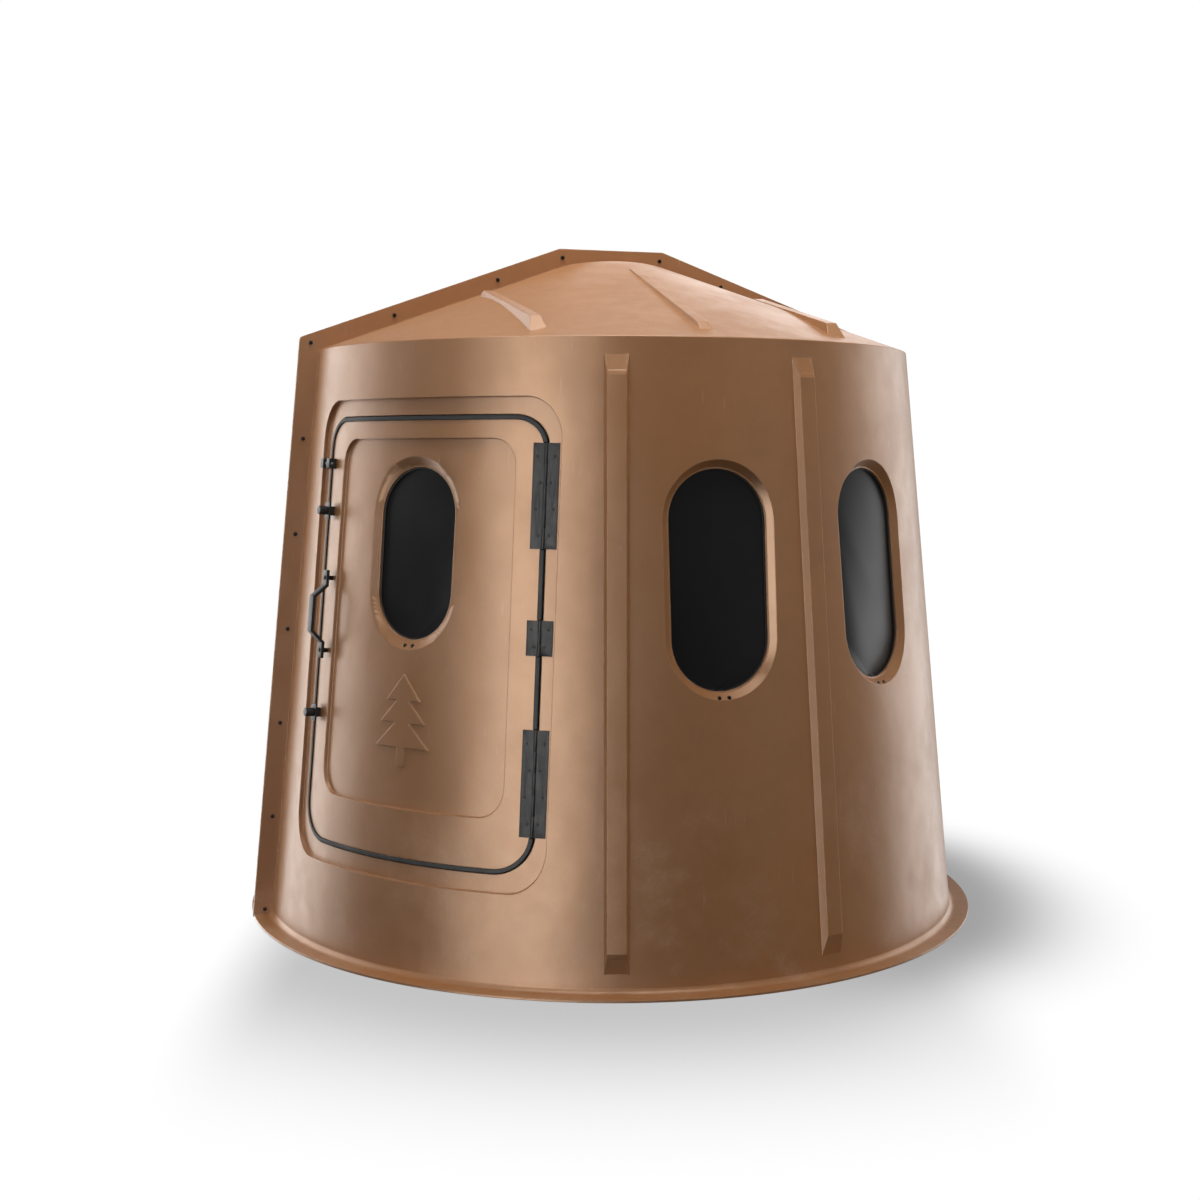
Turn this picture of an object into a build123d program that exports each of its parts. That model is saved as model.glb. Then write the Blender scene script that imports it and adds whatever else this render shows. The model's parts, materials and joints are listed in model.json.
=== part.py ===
from build123d import *
import os
from math import atan, atan2, cos, degrees, hypot, radians, sin, sqrt
from types import SimpleNamespace

# A hard-sided ground blind moulded in two half shells, bolted together along an upright flange.
# Millimetres. +Z up, origin at the centre of the foot, on the ground. The half shells meet in
# the XZ plane: the front shell, with the door, is on the -Y side.

# ---- wall and roof ----
FOOT_R = 1092.0             # outside radius of the wall at the ground
EAVE_R = 927.5              # outside radius of the wall at the eave
EAVE_Z = 1729.0
CROWN_R = 121.0             # where the roof slope would meet the flat crown
CROWN_RISE = 290.0          # crown above the eave
CROWN_ROUND = 320.0         # radius that blends the roof slope into the crown
EAVE_ROUND = 5.0
SKIN = 6.0                  # thickness of the moulded wall
FOOT_FLANGE_W = 57.5        # how far the foot flange stands out
FOOT_FLANGE_T = 6.0
FOOT_ROUND = 22.0           # hollow round between the wall and the foot flange

# ---- upright flange, seal and bolts ----
FLANGE_W = 60.0             # how far the flange stands out from the wall
ROOF_FLANGE_H = 59.5        # how far it stands up above the roof
FLANGE_T = 6.0              # thickness of each half
FLANGE_CORNER = 15.0
APEX_X = 171.0              # half width of the flat top of the flange
SEAL_T = 3.0                # foam strip between the two flanges
SEAL_LIFT = 2.0             # the strip stops this far above the ground
BOLT_R = 3.0
BOLT_HOLE_R = 3.3
BOLT_HEAD_AF = 10.0
BOLT_HEAD_H = 4.0
BOLT_TIP = 3.0              # thread that shows beyond the nut
NUT_H = 5.0
WASHER_R = 6.0
WASHER_T = 1.2
BOLT_INSET = 26.0           # bolt line, out from the wall
ROOF_BOLT_RISE = 28.0       # bolt line, up from the roof
WALL_BOLTS = 7
WALL_BOLT_LOW = 21.0
WALL_BOLT_RISE = 23.0       # highest wall bolt, above the eave
ROOF_BOLT_X = (161.0, 371.0, 696.0)

# ---- stiffening ribs ----
RIB_ANGLE = 16.5            # wall ribs stand either side of each half's middle, degrees
RIB_BASE = 34.0             # half width at the wall
RIB_CREST = 26.0            # half width at the crest
RIB_H = 20.0
RIB_LOW = 56.0
RIB_STOP = 49.0             # wall ribs end this far below the eave
RIB_END_RUN = 57.0          # length of each sloping end
RIB_END_SHRINK = 0.6        # how much of the wall the hollow keeps at its ends
ROOF_RIB_X = 437.0
ROOF_RIB_CREST = 15.0
ROOF_RIB_FLARE = 0.30       # side slope of the roof ribs
# each roof rib is four points, inner foot to outer foot: (distance from the flange, rise above
# the roof's slope); the last two distances are measured back from the eave
SIDE_RIB = ((146.0, 4.0), (167.0, 13.5), (107.0, 29.0), (71.0, -3.5))
MID_RIB = ((215.0, -8.0), (242.0, 2.5), (100.5, 11.5), (60.5, -3.0))

# ---- windows ----
WINDOW_W = 320.0            # moulded pocket, measured on the wall
WINDOW_H = 640.0
POCKET_D = 26.0             # from the wall's outer face to the pocket floor, at mid width
POCKET_RUN = 22.0           # sloping side of the pocket
SILL_Z = 767.0              # lowest point of the pockets in the wall
LEDGE = 4.0                 # pocket floor left round the opening
GASKET_T = 2.7
GASKET_LIP = 4.0            # gasket that shows inside the opening
PANE_T = 4.5
PANE_LAP = 6.0              # pane behind the opening's edge
PANE_GAP = 0.3              # between the gasket and the closed pane
SIDE_WINDOW_ANGLE = 32.2    # the second front window, from the front middle, degrees
REAR_WINDOW_ANGLE = 51.5    # the outer rear windows, from the rear middle, degrees
DOOR_WINDOW_H = 533.0
DOOR_SILL_Z = 881.0
DOOR_POCKET_D = 20.0
DOOR_POCKET_RUN = 28.0

# ---- small window hinge ----
PANE_LEAF_T = 1.5
PANE_LEAF_W = 16.0
PANE_HINGE_L = 44.0
PANE_KNUCKLE_R = 3.5
PANE_PIN_R = 1.8
PANE_SCREW_X = 14.0
PANE_SCREW_OUT = 11.0       # screw row, from the hinge line
PANE_SCREW_R = 1.75
PANE_SCREW_HEAD_R = 4.0
PANE_SCREW_HEAD_H = 2.0
FRAME_SCREW_HEAD_R = 5.5
FRAME_SCREW_HEAD_H = 4.0
FRAME_SCREW_SINK = 1.8      # the head's seat, below the pocket's slope
PANE_BOSS_DROP = 20.0       # wall boss below the hinge line
PANE_BOSS_W = 52.0
PANE_BOSS_GAP = 1.0         # between the boss and the pane's lower edge
PANE_LEAF_RELIEF = 0.6      # between a knuckle and the other leaf
PANE_HEAD_ROOM = 0.5        # gasket cut round the pane's screw heads

# ---- door ----
DOOR_ANGLE = 217.76         # direction that the door faces
DOOR_FLARE = 0.0215         # the door widens towards the foot, each side
DOOR_MID_Z = 913.0
DOOR_HALF = 401.3           # centre line of the seal at mid height
DOOR_TOP = 1517.0
DOOR_LOW = 308.0
DOOR_ROUND = 84.0
LOW_ROUND_MORE = 16.0       # the door's lower corners are rounder by this much
RECESS_SIDE = 37.0          # recess beyond the seal's centre line, at the sides
RECESS_END = 54.0           # and at the top and foot
RECESS_ROUND = 112.0
RECESS_D = 13.0
RECESS_DRAFT = 0.62         # sideways lean of the recess walls
PANEL_SIDE = 84.0           # sunk panel inside the seal's centre line, at the sides
PANEL_TOP = 57.0
PANEL_LOW = 139.0
PANEL_ROUND = 72.0
PANEL_D = 11.0
DOOR_T = 6.0
DOOR_RIM_D = 28.0           # depth of the door's edge
STOP_GAP = 4.0              # between the door's edge and the stop lip behind it
STOP_LAP = 14.0             # stop lip, inside the seal's centre line
SEAL_HALF = 7.0             # half width of the gap that the bulb seal fills
SEAL_SPARE = 2.2            # room between the seal and the shell
SEAL_PROUD = 4.0
SEAL_DEPTH = 9.0

# ---- tree emblem ----
TREE_Z = 560.0              # foot of the emblem
TREE_RISE = 4.0
TREE_TIERS = ((96.0, 52.0, 92.0), (80.0, 120.0, 84.0), (60.0, 182.0, 72.0))
TREE_TRUNK = (13.0, 60.0)

# ---- door hinges ----
HINGES = (("upper", 1307.0, 282.0, 5, 4), ("middle", 931.0, 94.0, 3, 2), ("lower", 547.0, 285.0, 5, 4))
LEAF_W = 35.7
LEAF_T = 3.0
LEAF_SEAT = 0.08            # between a leaf and the curved wall that it lies on
KNUCKLE_R = 4.5
PIN_R = 2.5
RUN_FIT = 0.05              # radial clearance of every hinge pin and spindle
KNUCKLE_GAP = 0.4
LEAF_RELIEF = 5.2           # leaf edge, from the pin line
SCREW_R = 2.2
SCREW_HEAD_R = 3.6
SCREW_HEAD_H = 1.8
SCREW_LENGTH = 12.0
SCREW_FIT = 0.1
SCREW_OUT = 19.0            # screw line, from the pin line
SCREW_ZIGZAG = 5.0
SEAL_CUT = 1.5              # room between the seal's ends and a hinge

# ---- latches, lock lugs and handle, on the door's free side ----
LATCH_Z = (1252.0, 668.0)
LATCH_IN = 29.0             # inside the seal's centre line
LATCH_BLOCK = (20.0, 26.0, 14.0)
LATCH_PLATE = (30.0, 48.0, 5.0)
SPINDLE_R = 5.0
KNOB_R = 12.5
KNOB_L = 26.0
KNOB_GAP = 0.5
CAM_ROOM = 3.0              # between the stop lip and the cam
CAM_T = 4.0
CAM_HALF_W = 8.0
CAM_REACH = 48.0
CAM_TAIL = 12.0
LUG_Z = 1389.0
LUG = (20.0, 28.0, 23.0)
LUG_HOLE_R = 4.5
LUG_HOLE_RISE = 13.5        # hole centre above the wall
LUG_OUT = 21.0              # lug centre, from the seal's centre line
HANDLE_Z = 955.0
HANDLE_IN = 52.0
HANDLE_L = 255.0
HANDLE_FOOT = 45.0
HANDLE_GRIP = 98.0
HANDLE_RISE = 37.0
HANDLE_T = 9.0
HANDLE_W = 25.0
HANDLE_STAND = 15.0
HANDLE_BOLT_R = 3.0
HANDLE_COLLAR_R = 6.5
HANDLE_HEAD_R = 6.0
HANDLE_HEAD_H = 3.0

DEEP = 60.0                 # cutting shapes reach this far past a wall
OVERCUT = 2.0               # and small ones this far past a face

# ---- worked-out values ----
FAR = 1.3 * FOOT_R                              # longer than any radius, for cutting shapes
FOOT_FLANGE_R = FOOT_R + FOOT_FLANGE_W
DRAFT_NEAR = 0.55 * FOOT_R                      # drafted cuts start here, well inside the wall
CROWN_Z = EAVE_Z + CROWN_RISE
TAPER = (FOOT_R - EAVE_R) / EAVE_Z
LEAN = atan(TAPER)
PITCH = CROWN_RISE / (EAVE_R - CROWN_R)
ROOF_ANGLE = atan(PITCH)
REVEAL = RECESS_D + PANEL_D
SHELL_SPLIT = SEAL_T / 2
STOP_D = DOOR_RIM_D + STOP_GAP



def wall_r(z, out=0.0):
    """Radius of the wall's outer face at height z, moved out along its normal."""
    return FOOT_R - TAPER * z + out / cos(LEAN)


def roof_z(r, up=0.0):
    """Height of the roof slope at radius r, moved up along its normal."""
    return EAVE_Z + (EAVE_R - r) * PITCH + up / cos(ROOF_ANGLE)


def box(x0, x1, y0, y1, z0, z1):
    """A block given by its limits."""
    return Pos((x0 + x1) / 2, (y0 + y1) / 2, (z0 + z1) / 2) * Box(x1 - x0, y1 - y0, z1 - z0)


def rod(r, z0, z1):
    """A cylinder along Z between two heights."""
    return Pos(0, 0, (z0 + z1) / 2) * Cylinder(r, z1 - z0)


def cone(out, low=-30.0, high=None):
    """The solid cone inside the wall's outer face, moved out along its normal."""
    high = EAVE_Z - 20 if high is None else high
    outline = Polyline((0, 0, low), (wall_r(low, out), 0, low), (wall_r(high, out), 0, high),
                       (0, 0, high), close=True)
    return revolve(make_face(outline), Axis.Z)


def near(face, x, z):
    """The vertex of a profile nearest to a point."""
    return min(face.vertices(), key=lambda v: hypot(v.X - x, v.Z - z))


def body_of_revolution(sink, low):
    """The blind's outer body, or its cavity when sink is the wall thickness."""
    wall_foot = wall_r(0, -sink)
    roof_peak = roof_z(0, -sink)
    eave_z = (roof_peak - PITCH * wall_foot) / (1 - PITCH * TAPER)
    eave_r = wall_foot - TAPER * eave_z
    crown_z = CROWN_Z - sink
    crown_r = (roof_peak - crown_z) / PITCH
    face = make_face(Polyline((0, 0, low), (wall_r(low, -sink), 0, low), (eave_r, 0, eave_z),
                              (crown_r, 0, crown_z), (0, 0, crown_z), close=True))
    face = fillet(near(face, eave_r, eave_z), EAVE_ROUND)
    face = fillet(near(face, crown_r, crown_z), CROWN_ROUND)
    return revolve(face, Axis.Z)


def foot_flange():
    """The flat ring round the foot, with the hollow round that runs up into the wall."""
    inner = FOOT_R - 2 * SKIN
    root = wall_r(FOOT_FLANGE_T)
    high = FOOT_FLANGE_T + 3 * FOOT_ROUND
    face = make_face(Polyline((inner, 0, 0), (FOOT_FLANGE_R, 0, 0), (FOOT_FLANGE_R, 0, FOOT_FLANGE_T),
                              (root, 0, FOOT_FLANGE_T), (wall_r(high), 0, high), (inner, 0, high),
                              close=True))
    return revolve(fillet(near(face, root, FOOT_FLANGE_T), FOOT_ROUND), Axis.Z)


def flange_plate(y0, y1, low):
    """The upright flange's outline as a plate, not yet hollowed."""
    side = FOOT_R + FLANGE_W
    apex_z = roof_z(APEX_X) + ROOF_FLANGE_H
    # the flange's side and roof edges meet at its corner
    peak = roof_z(0) + ROOF_FLANGE_H
    corner_z = (peak - PITCH * side) / (1 - PITCH * TAPER)
    corner_x = side - TAPER * corner_z
    right = [(side - TAPER * low, 0, low), (corner_x, 0, corner_z), (APEX_X, 0, apex_z)]
    left = [(-x, y, z) for x, y, z in reversed(right)]
    face = make_face(Polyline(*right, *left, close=True))
    for x in (corner_x, -corner_x):
        face = fillet(near(face, x, corner_z), FLANGE_CORNER)
    return Pos(0, y0, 0) * extrude(face, y1 - y0, dir=(0, 1, 0))


def bolt_points():
    """Where the flange bolts stand, as (x, z)."""
    step = (EAVE_Z + WALL_BOLT_RISE - WALL_BOLT_LOW) / (WALL_BOLTS - 1)
    heights = [WALL_BOLT_LOW + step * i for i in range(WALL_BOLTS)]
    right = [(wall_r(z) + BOLT_INSET, z) for z in heights]
    right += [(x, roof_z(x) + ROOF_BOLT_RISE) for x in ROOF_BOLT_X]
    return right + [(-x, z) for x, z in right]


def wall_plane(angle, z, out=0.0):
    """Frame on the wall: X along the wall, Y up its slope, Z along its outward normal."""
    a = radians(angle)
    r = wall_r(z, out)
    return Plane(origin=(r * cos(a), r * sin(a), z), x_dir=(-sin(a), cos(a), 0),
                 z_dir=(cos(LEAN) * cos(a), cos(LEAN) * sin(a), sin(LEAN)))


def prism(plane, points, half):
    """Points (y, z) of a plane, drawn in its YZ plane and pulled out to both sides."""
    face = make_face(Polyline(*[(-half, y, z) for y, z in points], close=True))
    return plane * extrude(face, 2 * half, dir=(1, 0, 0))


def wall_rib(angle, inset):
    """A straight rib up the wall with sloping sides and ends; inset gives its hollow."""
    plane = wall_plane(angle, 0)
    base_z = -2 * SKIN if inset else -SKIN / 2
    low, high = RIB_LOW / cos(LEAN), (EAVE_Z - RIB_STOP) / cos(LEAN)
    crest = RIB_H - inset
    end = RIB_END_RUN / RIB_H
    shrink = inset * RIB_END_SHRINK
    side = prism(plane, [(low + shrink + end * base_z, base_z), (low + shrink + end * crest, crest),
                         (high - shrink - end * crest, crest), (high - shrink - end * base_z, base_z)],
                 RIB_BASE * 2)
    lean = (RIB_BASE - RIB_CREST) / RIB_H
    half = RIB_BASE - inset
    outline = make_face(Polyline((half - lean * base_z, 0, base_z), (half - lean * crest, 0, crest),
                                 (lean * crest - half, 0, crest), (lean * base_z - half, 0, base_z),
                                 close=True))
    return side & plane * extrude(outline, 2 * EAVE_Z, dir=(0, 1, 0))


def roof_rib(x, outline):
    """A rib on the roof that runs square to the flange; its crest is a straight line."""
    eave = sqrt(EAVE_R ** 2 - x ** 2)
    inner, outer = outline[:2], outline[2:]
    points = [(-y, roof_z(hypot(x, y)) + rise) for y, rise in inner]
    points += [(y - eave, roof_z(hypot(x, eave - y)) + rise) for y, rise in outer]
    buried = EAVE_Z - SKIN
    face = make_face(Polyline(*[(0, y, z) for y, z in points], (0, points[-1][0], buried),
                              (0, points[0][0], buried), close=True))
    reach = ROOF_RIB_CREST + ROOF_RIB_FLARE * DEEP
    (y0, z0), (y1, z1) = points[1], points[2]
    slope = (z1 - z0) / (y1 - y0)
    peak = z0 - slope * y0
    section = make_face(Polyline((ROOF_RIB_CREST, 0, peak), (reach, 0, peak - DEEP),
                                 (-reach, 0, peak - DEEP), (-ROOF_RIB_CREST, 0, peak), close=True))
    run = Vector(0, -1, -slope)
    bar = extrude(section, FAR, dir=run.normalized())
    slab = Pos(-reach, 0, 0) * extrude(face, 2 * reach, dir=(1, 0, 0))
    return Pos(x, 0, 0) * (slab & bar)


def roof_ribs():
    """The three roof ribs of the front half, each buried in the roof below its crest."""
    return [roof_rib(-ROOF_RIB_X, SIDE_RIB), roof_rib(0, MID_RIB), roof_rib(ROOF_RIB_X, SIDE_RIB)]


# ---- windows ----
def window_kind(height, depth, run):
    """A window's pocket and the levels behind it, measured in from the face that it is sunk in."""
    seat = depth + SKIN                             # inner face of the pocket's floor
    face = seat + GASKET_T + PANE_GAP               # outer face of the closed pane
    back = face + PANE_T                            # the hinge leaves lie on this face
    half_h = height / 2 - run + PANE_LAP            # half height of the pane
    slope_at_screw = (run - PANE_LAP - PANE_SCREW_OUT) * depth / (run - LEDGE)
    return SimpleNamespace(height=height, depth=depth, seat=seat, face=face, back=back, half_h=half_h,
                           open_w=WINDOW_W - 2 * run, open_h=height - 2 * run,
                           screw_seat=slope_at_screw + FRAME_SCREW_SINK)


def window_plane(angle, sill_z, kind, sunk):
    """Frame at a window's centre, on a wall face that is sunk below the outer face."""
    return wall_plane(angle, sill_z + kind.height / 2 * cos(LEAN), -sunk)


def slot(width, height):
    """An upright slot outline with round ends."""
    return SlotOverall(height, width, rotation=90)


def pocket(kind, plane):
    """The sloping pocket in front of a pane."""
    sag = (WINDOW_W / 2) ** 2 / (2 * wall_r(SILL_Z))
    floor_w, floor_h = kind.open_w + 2 * LEDGE, kind.open_h + 2 * LEDGE
    side_lean = (WINDOW_W - floor_w) / 2 / (kind.depth - sag)
    end_lean = (kind.height - floor_h) / 2 / kind.depth
    rise = kind.depth + OVERCUT
    mouth = slot(floor_w + 2 * side_lean * rise, floor_h + 2 * end_lean * rise)
    return plane * loft([Pos(0, 0, -kind.depth) * slot(floor_w, floor_h), Pos(0, 0, OVERCUT) * mouth],
                        ruled=True)


def window_block(kind, plane):
    """Solid material round a pocket, before the pocket is cut, with the hinge boss under it."""
    block = extrude(slot(WINDOW_W + 2 * SKIN, kind.height + 2 * SKIN), -kind.seat)
    boss = box(-PANE_BOSS_W / 2, PANE_BOSS_W / 2, -kind.half_h - PANE_BOSS_DROP,
               -kind.half_h - PANE_BOSS_GAP, -kind.back, 0)
    return plane * (block + boss)


def opening(kind, plane):
    """The cut through the pocket's floor."""
    hole = slot(kind.open_w, kind.open_h)
    return plane * (Pos(0, 0, -DEEP) * extrude(hole, DEEP))


def screw_spots(kind):
    """Window hinge screws: (x, y) of the frame's pair and of the pane's pair."""
    line = -kind.half_h
    frame = [(x, line - PANE_SCREW_OUT) for x in (-PANE_SCREW_X, PANE_SCREW_X)]
    pane = [(x, line + PANE_SCREW_OUT) for x in (-PANE_SCREW_X, PANE_SCREW_X)]
    return frame, pane


def frame_screws(kind, plane, grow=0.0):
    """The two screws through the shell into the hinge's frame leaf, or their holes."""
    seat = -kind.screw_seat
    tip = -kind.back - PANE_LEAF_T
    frame, _ = screw_spots(kind)
    out = []
    for x, y in frame:
        screw = rod(PANE_SCREW_R + grow, tip, seat)
        head = rod(FRAME_SCREW_HEAD_R + grow, seat, seat + (DEEP if grow else FRAME_SCREW_HEAD_H))
        out.append(plane * (Pos(x, y, 0) * (screw + head)))
    return out


def window_parts(kind, plane):
    """The pieces of one window: gasket, pane, two hinge leaves and the pane's screws."""
    half_h = kind.half_h
    outline = slot(kind.open_w + 2 * PANE_LAP, 2 * half_h)
    inside = slot(kind.open_w - 2 * GASKET_LIP, kind.open_h - 2 * GASKET_LIP)
    gasket = Pos(0, 0, -kind.seat - GASKET_T) * extrude(outline - inside, GASKET_T)
    pane = Pos(0, 0, -kind.back) * extrude(outline, PANE_T)
    half_l = PANE_HINGE_L / 2
    third = PANE_HINGE_L / 6
    leaf_top = -kind.back
    leaf_edge = PANE_KNUCKLE_R + PANE_LEAF_RELIEF
    frame_leaf = box(-half_l, half_l, -half_h - PANE_LEAF_W, -half_h - leaf_edge,
                     leaf_top - PANE_LEAF_T, leaf_top)
    pane_leaf = box(-half_l, half_l, -half_h + leaf_edge, -half_h + PANE_LEAF_W,
                    leaf_top - PANE_LEAF_T, leaf_top)
    turn = Pos(0, -half_h, leaf_top - PANE_KNUCKLE_R) * Rot(0, 90, 0)
    for x0, x1 in ((-half_l, -third), (third, half_l)):
        frame_leaf += turn * rod(PANE_KNUCKLE_R, x0, x1)
        frame_leaf += box(x0, x1, -half_h - leaf_edge, -half_h, leaf_top - PANE_LEAF_T, leaf_top)
    mid = third - KNUCKLE_GAP
    knuckle = turn * rod(PANE_KNUCKLE_R, -mid, mid)
    pane_leaf += knuckle + box(-mid, mid, -half_h, -half_h + leaf_edge, leaf_top - PANE_LEAF_T, leaf_top)
    pane_leaf -= turn * rod(PANE_PIN_R + RUN_FIT, -half_l, half_l)
    frame_leaf += turn * rod(PANE_PIN_R, -half_l, half_l)
    frame_spots, pane_spots = screw_spots(kind)
    for x, y in frame_spots:
        frame_leaf -= Pos(x, y, 0) * rod(PANE_SCREW_R, leaf_top - 2 * PANE_LEAF_T, leaf_top + OVERCUT)
    screws = []
    for x, y in pane_spots:
        hole = Pos(x, y, 0) * rod(PANE_SCREW_R, leaf_top - 2 * PANE_LEAF_T, 0)
        pane_leaf -= hole
        pane -= hole
        screw = rod(PANE_SCREW_R, leaf_top - PANE_LEAF_T, -kind.face)
        screw += rod(PANE_SCREW_HEAD_R, -kind.face, PANE_SCREW_HEAD_H - kind.face)
        screws.append(plane * (Pos(x, y, 0) * screw))
        # the gasket makes room for the screw heads
        gasket -= Pos(x, y, 0) * rod(PANE_SCREW_HEAD_R + PANE_HEAD_ROOM, -kind.face, OVERCUT - kind.seat)
    return {"gasket": plane * gasket, "pane": plane * pane, "frame_leaf": plane * frame_leaf,
            "pane_leaf": plane * pane_leaf, "pane_screws": Compound(children=screws)}


WALL_WINDOW = window_kind(WINDOW_H, POCKET_D, POCKET_RUN)
DOOR_WINDOW = window_kind(DOOR_WINDOW_H, DOOR_POCKET_D, DOOR_POCKET_RUN)


# ---- door ----
def door_axes():
    a = radians(DOOR_ANGLE)
    return Vector(-sin(a), cos(a), 0), Vector(cos(a), sin(a), 0)


def door_half(z):
    """Half width between the seal's centre lines at height z."""
    return DOOR_HALF + DOOR_FLARE * (DOOR_MID_Z - z)


def door_outline(side, top, low, round_r, y=None, sunk=0.0):
    """Rounded outline about the seal's centre line, drawn square to the door's direction.

    With y given, its sides are those of a drafted cut at that distance from the axis, which
    are true to size on the wall face that is sunk below the outer face."""
    across, facing = door_axes()
    corners = []
    for z in (DOOR_LOW - low, DOOR_TOP + top):
        half = door_half(z) + side
        if y is not None:
            half += (y - sqrt(wall_r(z, -sunk) ** 2 - half ** 2)) * RECESS_DRAFT
        corners.append((half, z))
    (w0, z0), (w1, z1) = corners
    plane = Plane(origin=(0, 0, 0), x_dir=across, z_dir=facing)
    face = Polygon((-w0, z0), (w0, z0), (w1, z1), (-w1, z1), align=None)
    face = fillet(face.vertices().sort_by(Axis.Y)[-2:], round_r)
    return plane * fillet(face.vertices().sort_by(Axis.Y)[:2], round_r + LOW_ROUND_MORE)


def door_prism(side, top, low, round_r):
    """The outline pulled straight out along the door's direction."""
    _, facing = door_axes()
    return extrude(door_outline(side, top, low, round_r), FAR, dir=facing)


def drafted_prism(side, top, low, round_r, sunk):
    """The outline opened towards the outside, so that its sides lean away from each other."""
    _, facing = door_axes()
    faces = [Pos(*(facing * y)) * door_outline(side, top, low, round_r, y, sunk) for y in (DRAFT_NEAR, FAR)]
    return loft(faces, ruled=True)


def shell_of(out1, out2):
    """The wall's slice between two offsets, the outer one first."""
    return cone(out1) - cone(out2)


def grown(amount, seal=DOOR_ROUND):
    """Arguments of an outline that lies a distance outside the seal's centre line."""
    return amount, amount, amount, seal + amount


RECESS = (RECESS_SIDE, RECESS_END, RECESS_END, RECESS_ROUND)
PANEL = (-PANEL_SIDE, -PANEL_TOP, -PANEL_LOW, PANEL_ROUND)


def wider(outline, amount):
    return tuple(v + amount for v in outline)


def wall_normal(point):
    """The wall's outward normal beside a point."""
    radial = Vector(point.X, point.Y, 0).normalized()
    return radial * cos(LEAN) + Vector(0, 0, sin(LEAN))


def seal_point(z):
    """Where the seal's centre line crosses the recess floor at height z, on the hinge side."""
    across, facing = door_axes()
    x = door_half(z)
    return across * x + facing * sqrt(wall_r(z, -RECESS_D) ** 2 - x * x) + Vector(0, 0, z)


def hinge_line():
    """The door's pin line: its lowest point, its highest point and its direction."""
    _, z_top, l_top, _, _ = HINGES[0]
    _, z_low, l_low, _, _ = HINGES[-1]
    low, high = seal_point(z_low - l_low / 2), seal_point(z_top + l_top / 2)
    chord = (low + high) * 0.5
    normal = wall_normal(chord)
    bulge = (seal_point(chord.Z) - chord).dot(normal)
    lift = normal * (LEAF_T + LEAF_SEAT + bulge)
    return low + lift, high + lift, (high - low).normalized()


def hinge_plane(z):
    """Frame of a hinge: origin on the pin line, X towards the shell, Y up, Z outwards."""
    low, high, up = hinge_line()
    origin = low + (high - low) * ((z - low.Z) / (high.Z - low.Z))
    side = up.cross(wall_normal(origin)).normalized()
    return Plane(origin=origin, x_dir=side, z_dir=side.cross(up).normalized())


def screw_rows(length, count, sign):
    """Screw places on one leaf, in a gentle zigzag."""
    step = length / count
    return [(sign * (SCREW_OUT + (SCREW_ZIGZAG if i % 2 else -SCREW_ZIGZAG)),
             (i - (count - 1) / 2) * step) for i in range(count)]


def hinge_leaf(length, knuckles, count, sign):
    """One leaf: sign +1 lies on the shell, -1 on the door."""
    first = 0 if sign > 0 else 1
    pitch = length / knuckles
    lo, hi = sorted((sign * LEAF_RELIEF, sign * LEAF_W))
    leaf = box(lo, hi, -length / 2, length / 2, -LEAF_T, 0)
    for i in range(first, knuckles, 2):
        y0 = -length / 2 + pitch * i + (KNUCKLE_GAP / 2 if i else 0)
        y1 = -length / 2 + pitch * (i + 1) - (KNUCKLE_GAP / 2 if i < knuckles - 1 else 0)
        lo, hi = sorted((0, sign * LEAF_RELIEF))
        leaf += box(lo, hi, y0, y1, -LEAF_T, 0)
        leaf += Rot(-90, 0, 0) * rod(KNUCKLE_R, y0, y1)
    leaf -= Rot(-90, 0, 0) * rod(PIN_R + RUN_FIT, -length, length)
    for x, y in screw_rows(length, count, sign):
        leaf -= Pos(x, y, 0) * rod(SCREW_R, -2 * LEAF_T, LEAF_T)
    return leaf


def leaf_screws(length, count, sign, grow=0.0):
    """The round-headed screws of one leaf, or their holes."""
    screw = rod(SCREW_R + grow, SCREW_HEAD_H - SCREW_LENGTH, 0) + rod(SCREW_HEAD_R, 0, SCREW_HEAD_H)
    return [Pos(x, y, 0) * screw for x, y in screw_rows(length, count, sign)]


def free_side_plane(z, inside):
    """Frame on the door's free side, a distance inside the seal's centre line."""
    x = door_half(z) - inside
    r = wall_r(z, -RECESS_D)
    turn = degrees(atan2(x, sqrt(r * r - x * x)))
    return wall_plane(DOOR_ANGLE - turn, z, -RECESS_D)


def latch_parts(z):
    """Base, knob with its spindle, and the inside cam that hangs upright when released."""
    plane = free_side_plane(z, LATCH_IN)
    w, h, t = LATCH_PLATE
    bw, bh, bt = LATCH_BLOCK
    top = bt + t
    base = box(-bw / 2, bw / 2, -bh / 2, bh / 2, 0, bt) + box(-w / 2, w / 2, -h / 2, h / 2, bt, top)
    base -= rod(SPINDLE_R + RUN_FIT, -OVERCUT, top + OVERCUT)
    cam_top = -STOP_D - SKIN - CAM_ROOM
    knob = rod(KNOB_R, top + KNOB_GAP, top + KNOB_GAP + KNOB_L)
    knob += rod(SPINDLE_R, cam_top - CAM_T, top + KNOB_GAP)
    cam = box(-CAM_HALF_W, CAM_HALF_W, -CAM_TAIL, CAM_REACH, cam_top - CAM_T, cam_top)
    cam -= rod(SPINDLE_R, cam_top - 2 * CAM_T, cam_top + OVERCUT)
    return plane * base, plane * knob, plane * cam


def lock_lug(inside):
    """A small block with a hole along the wall for a padlock's shackle."""
    w, h, t = LUG
    plane = free_side_plane(LUG_Z, inside)
    lug = box(-w / 2, w / 2, -h / 2, h / 2, 0, t)
    return plane * (lug - Pos(0, 0, LUG_HOLE_RISE) * (Rot(0, 90, 0) * rod(LUG_HOLE_R, -w, w)))


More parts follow.
